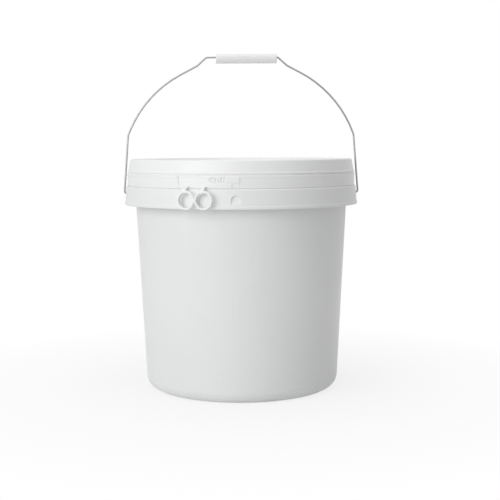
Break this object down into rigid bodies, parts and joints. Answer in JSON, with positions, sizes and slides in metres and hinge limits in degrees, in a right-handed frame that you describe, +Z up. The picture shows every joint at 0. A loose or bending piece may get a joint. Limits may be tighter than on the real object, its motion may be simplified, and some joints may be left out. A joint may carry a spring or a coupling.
{
  "type": "bucket with lid",
  "caption": "White plastic bucket with a press-on lid, a tear strip with pull rings, and a wire bail with a roller grip that swings in the bucket's collar.",
  "frame": {"origin": "centre of the flat underside of the base, on the bucket's axis, at the level it stands on", "axes": "+Z up along the bucket's axis, +X along the bail's pivot axis to the right as seen from the front, -Y to the front, where the pull rings are"},
  "size_m": [0.3184, 0.3177, 0.4473],
  "materials": {
    "bucket_plastic": "satin moulded polyethylene, white",
    "lid_plastic": "satin moulded polyethylene, white",
    "gasket_rubber": "matt pale rubber",
    "bail_wire": "zinc-plated drawn steel wire",
    "grip_plastic": "satin moulded plastic, white"
  },
  "bodies": {
    "bucket": {"bucket": "bucket_plastic"},
    "lid": {"lid": "lid_plastic", "lid_gasket": "gasket_rubber"},
    "bail": {"bail": "bail_wire"},
    "grip": {"grip": "grip_plastic"}
  },
  "joints": [
    {"name": "lid_lift", "type": "slide", "parent": "bucket", "child": "lid", "axis": [0, 0, 1], "range_m": [0, 0.024]},
    {"name": "bail_swing", "type": "hinge", "parent": "bucket", "child": "bail", "pos_m": [0, 0, 0.262], "axis": [1, 0, 0], "range_deg": [-115, 115]},
    {"name": "grip_spin", "type": "hinge", "parent": "bail", "child": "grip", "pos_m": [0.0079, 0, 0.44105], "axis": [1, 0, 0], "continuous": true}
  ]
}
